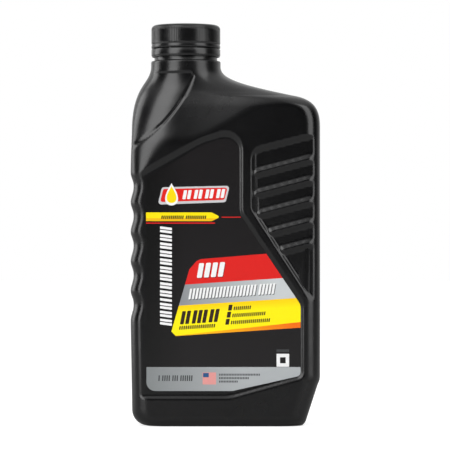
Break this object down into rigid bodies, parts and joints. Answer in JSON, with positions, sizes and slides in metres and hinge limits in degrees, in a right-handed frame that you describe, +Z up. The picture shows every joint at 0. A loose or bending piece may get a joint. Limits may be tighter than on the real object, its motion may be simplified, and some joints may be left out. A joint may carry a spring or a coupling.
{
  "type": "lubricating oil bottle",
  "caption": "Blow-moulded one-quart oil bottle with an offset neck, ribbed grip, recessed label panels and a screw cap above a tamper band.",
  "frame": {"origin": "middle of the base, on the plane that the bottle stands on", "axes": "+Z up, the front label faces -Y, and the neck stands towards -X"},
  "size_m": [0.1106, 0.056, 0.2348],
  "materials": {
    "bottle_plastic": "black high-density polyethylene, satin, as blown",
    "label_film": "printed plastic film, smooth, half gloss",
    "cap_plastic": "black polypropylene, moulded, satin",
    "liner_foam": "closed-cell foam disc"
  },
  "bodies": {
    "bottle": {"bottle": "bottle_plastic", "front_label": "label_film", "back_label": "label_film", "tamper_band": "cap_plastic"},
    "liner": {"cap_liner": "liner_foam"},
    "cap": {"cap": "cap_plastic"}
  },
  "joints": [
    {"name": "cap_lift", "type": "slide", "parent": "bottle", "child": "liner", "axis": [0, 0, 1], "range_m": [0, 0.01261]},
    {"name": "cap_unscrew", "type": "hinge", "parent": "liner", "child": "cap", "pos_m": [-0.0233, 0, 0.228], "axis": [0, 0, 1], "range_deg": [0, 1080]}
  ],
  "couplings": [
    {"joint": "cap_lift", "follows": "cap_unscrew", "m_per_rad": 0.00066845}
  ]
}
